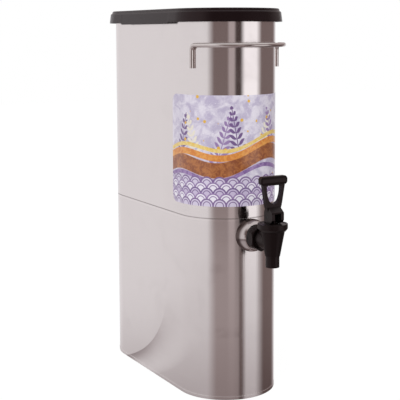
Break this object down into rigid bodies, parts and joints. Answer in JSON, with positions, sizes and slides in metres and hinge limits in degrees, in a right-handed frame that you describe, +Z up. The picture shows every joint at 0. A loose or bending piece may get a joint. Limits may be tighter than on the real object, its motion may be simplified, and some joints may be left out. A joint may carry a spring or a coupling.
{
  "type": "iced tea dispenser",
  "caption": "Tall narrow oval stainless steel drink dispenser with a lift-off lid, a wire handle and a spring-closed lever tap.",
  "frame": {"origin": "centre of the whole's footprint box, on the plane it stands on", "axes": "+Z up, the tap points along -Y, +X to the right seen from the front"},
  "size_m": [0.17, 0.4438, 0.571],
  "materials": {
    "brushed_steel": "fine brushed grain round the body, satin to bright",
    "skirt_steel": "satin brushed grain",
    "wire_steel": "bright drawn wire",
    "polished_steel": "mirror polished",
    "lid_plastic": "fine moulded grain, slight sheen",
    "tap_plastic": "smooth moulded, slight sheen",
    "stem_plastic": "smooth moulded",
    "nylon_washer": "smooth",
    "silicone": "soft translucent white",
    "label_print": "printed film, clear glossy face"
  },
  "bodies": {
    "dispenser": {"tank_shell": "brushed_steel", "tank_bottom": "brushed_steel", "sump_cup": "brushed_steel", "base_skirt": "skirt_steel", "carry_handle": "wire_steel", "front_label": "label_print", "outlet_spud": "polished_steel", "dome_collar": "polished_steel", "shank_washer": "nylon_washer", "jam_nut": "tap_plastic", "shank_seal": "silicone", "tap_body": "tap_plastic", "tap_bonnet": "tap_plastic", "seat_cup": "silicone", "return_spring": "wire_steel"},
    "stem": {"valve_stem": "stem_plastic"},
    "lever": {"tap_lever": "tap_plastic", "lever_pin": "polished_steel"},
    "lid": {"lid": "lid_plastic"}
  },
  "joints": [
    {"name": "stem_lift", "type": "slide", "parent": "dispenser", "child": "stem", "axis": [0, 0, 1], "range_m": [0, 0.004], "deforming": ["return_spring", "seat_cup"]},
    {"name": "lever_tilt", "type": "hinge", "parent": "stem", "child": "lever", "pos_m": [0, -0.2006, 0.281], "axis": [1, 0, 0], "range_deg": [0, 60], "stiffness_Nm_per_rad": 0.06, "springref_deg": -74.48},
    {"name": "lid_lift", "type": "slide", "parent": "dispenser", "child": "lid", "axis": [0, 0, 1], "range_m": [0, 0.15]}
  ],
  "couplings": [
    {"joint": "stem_lift", "follows": "lever_tilt", "m_per_rad": 0.0038197}
  ]
}
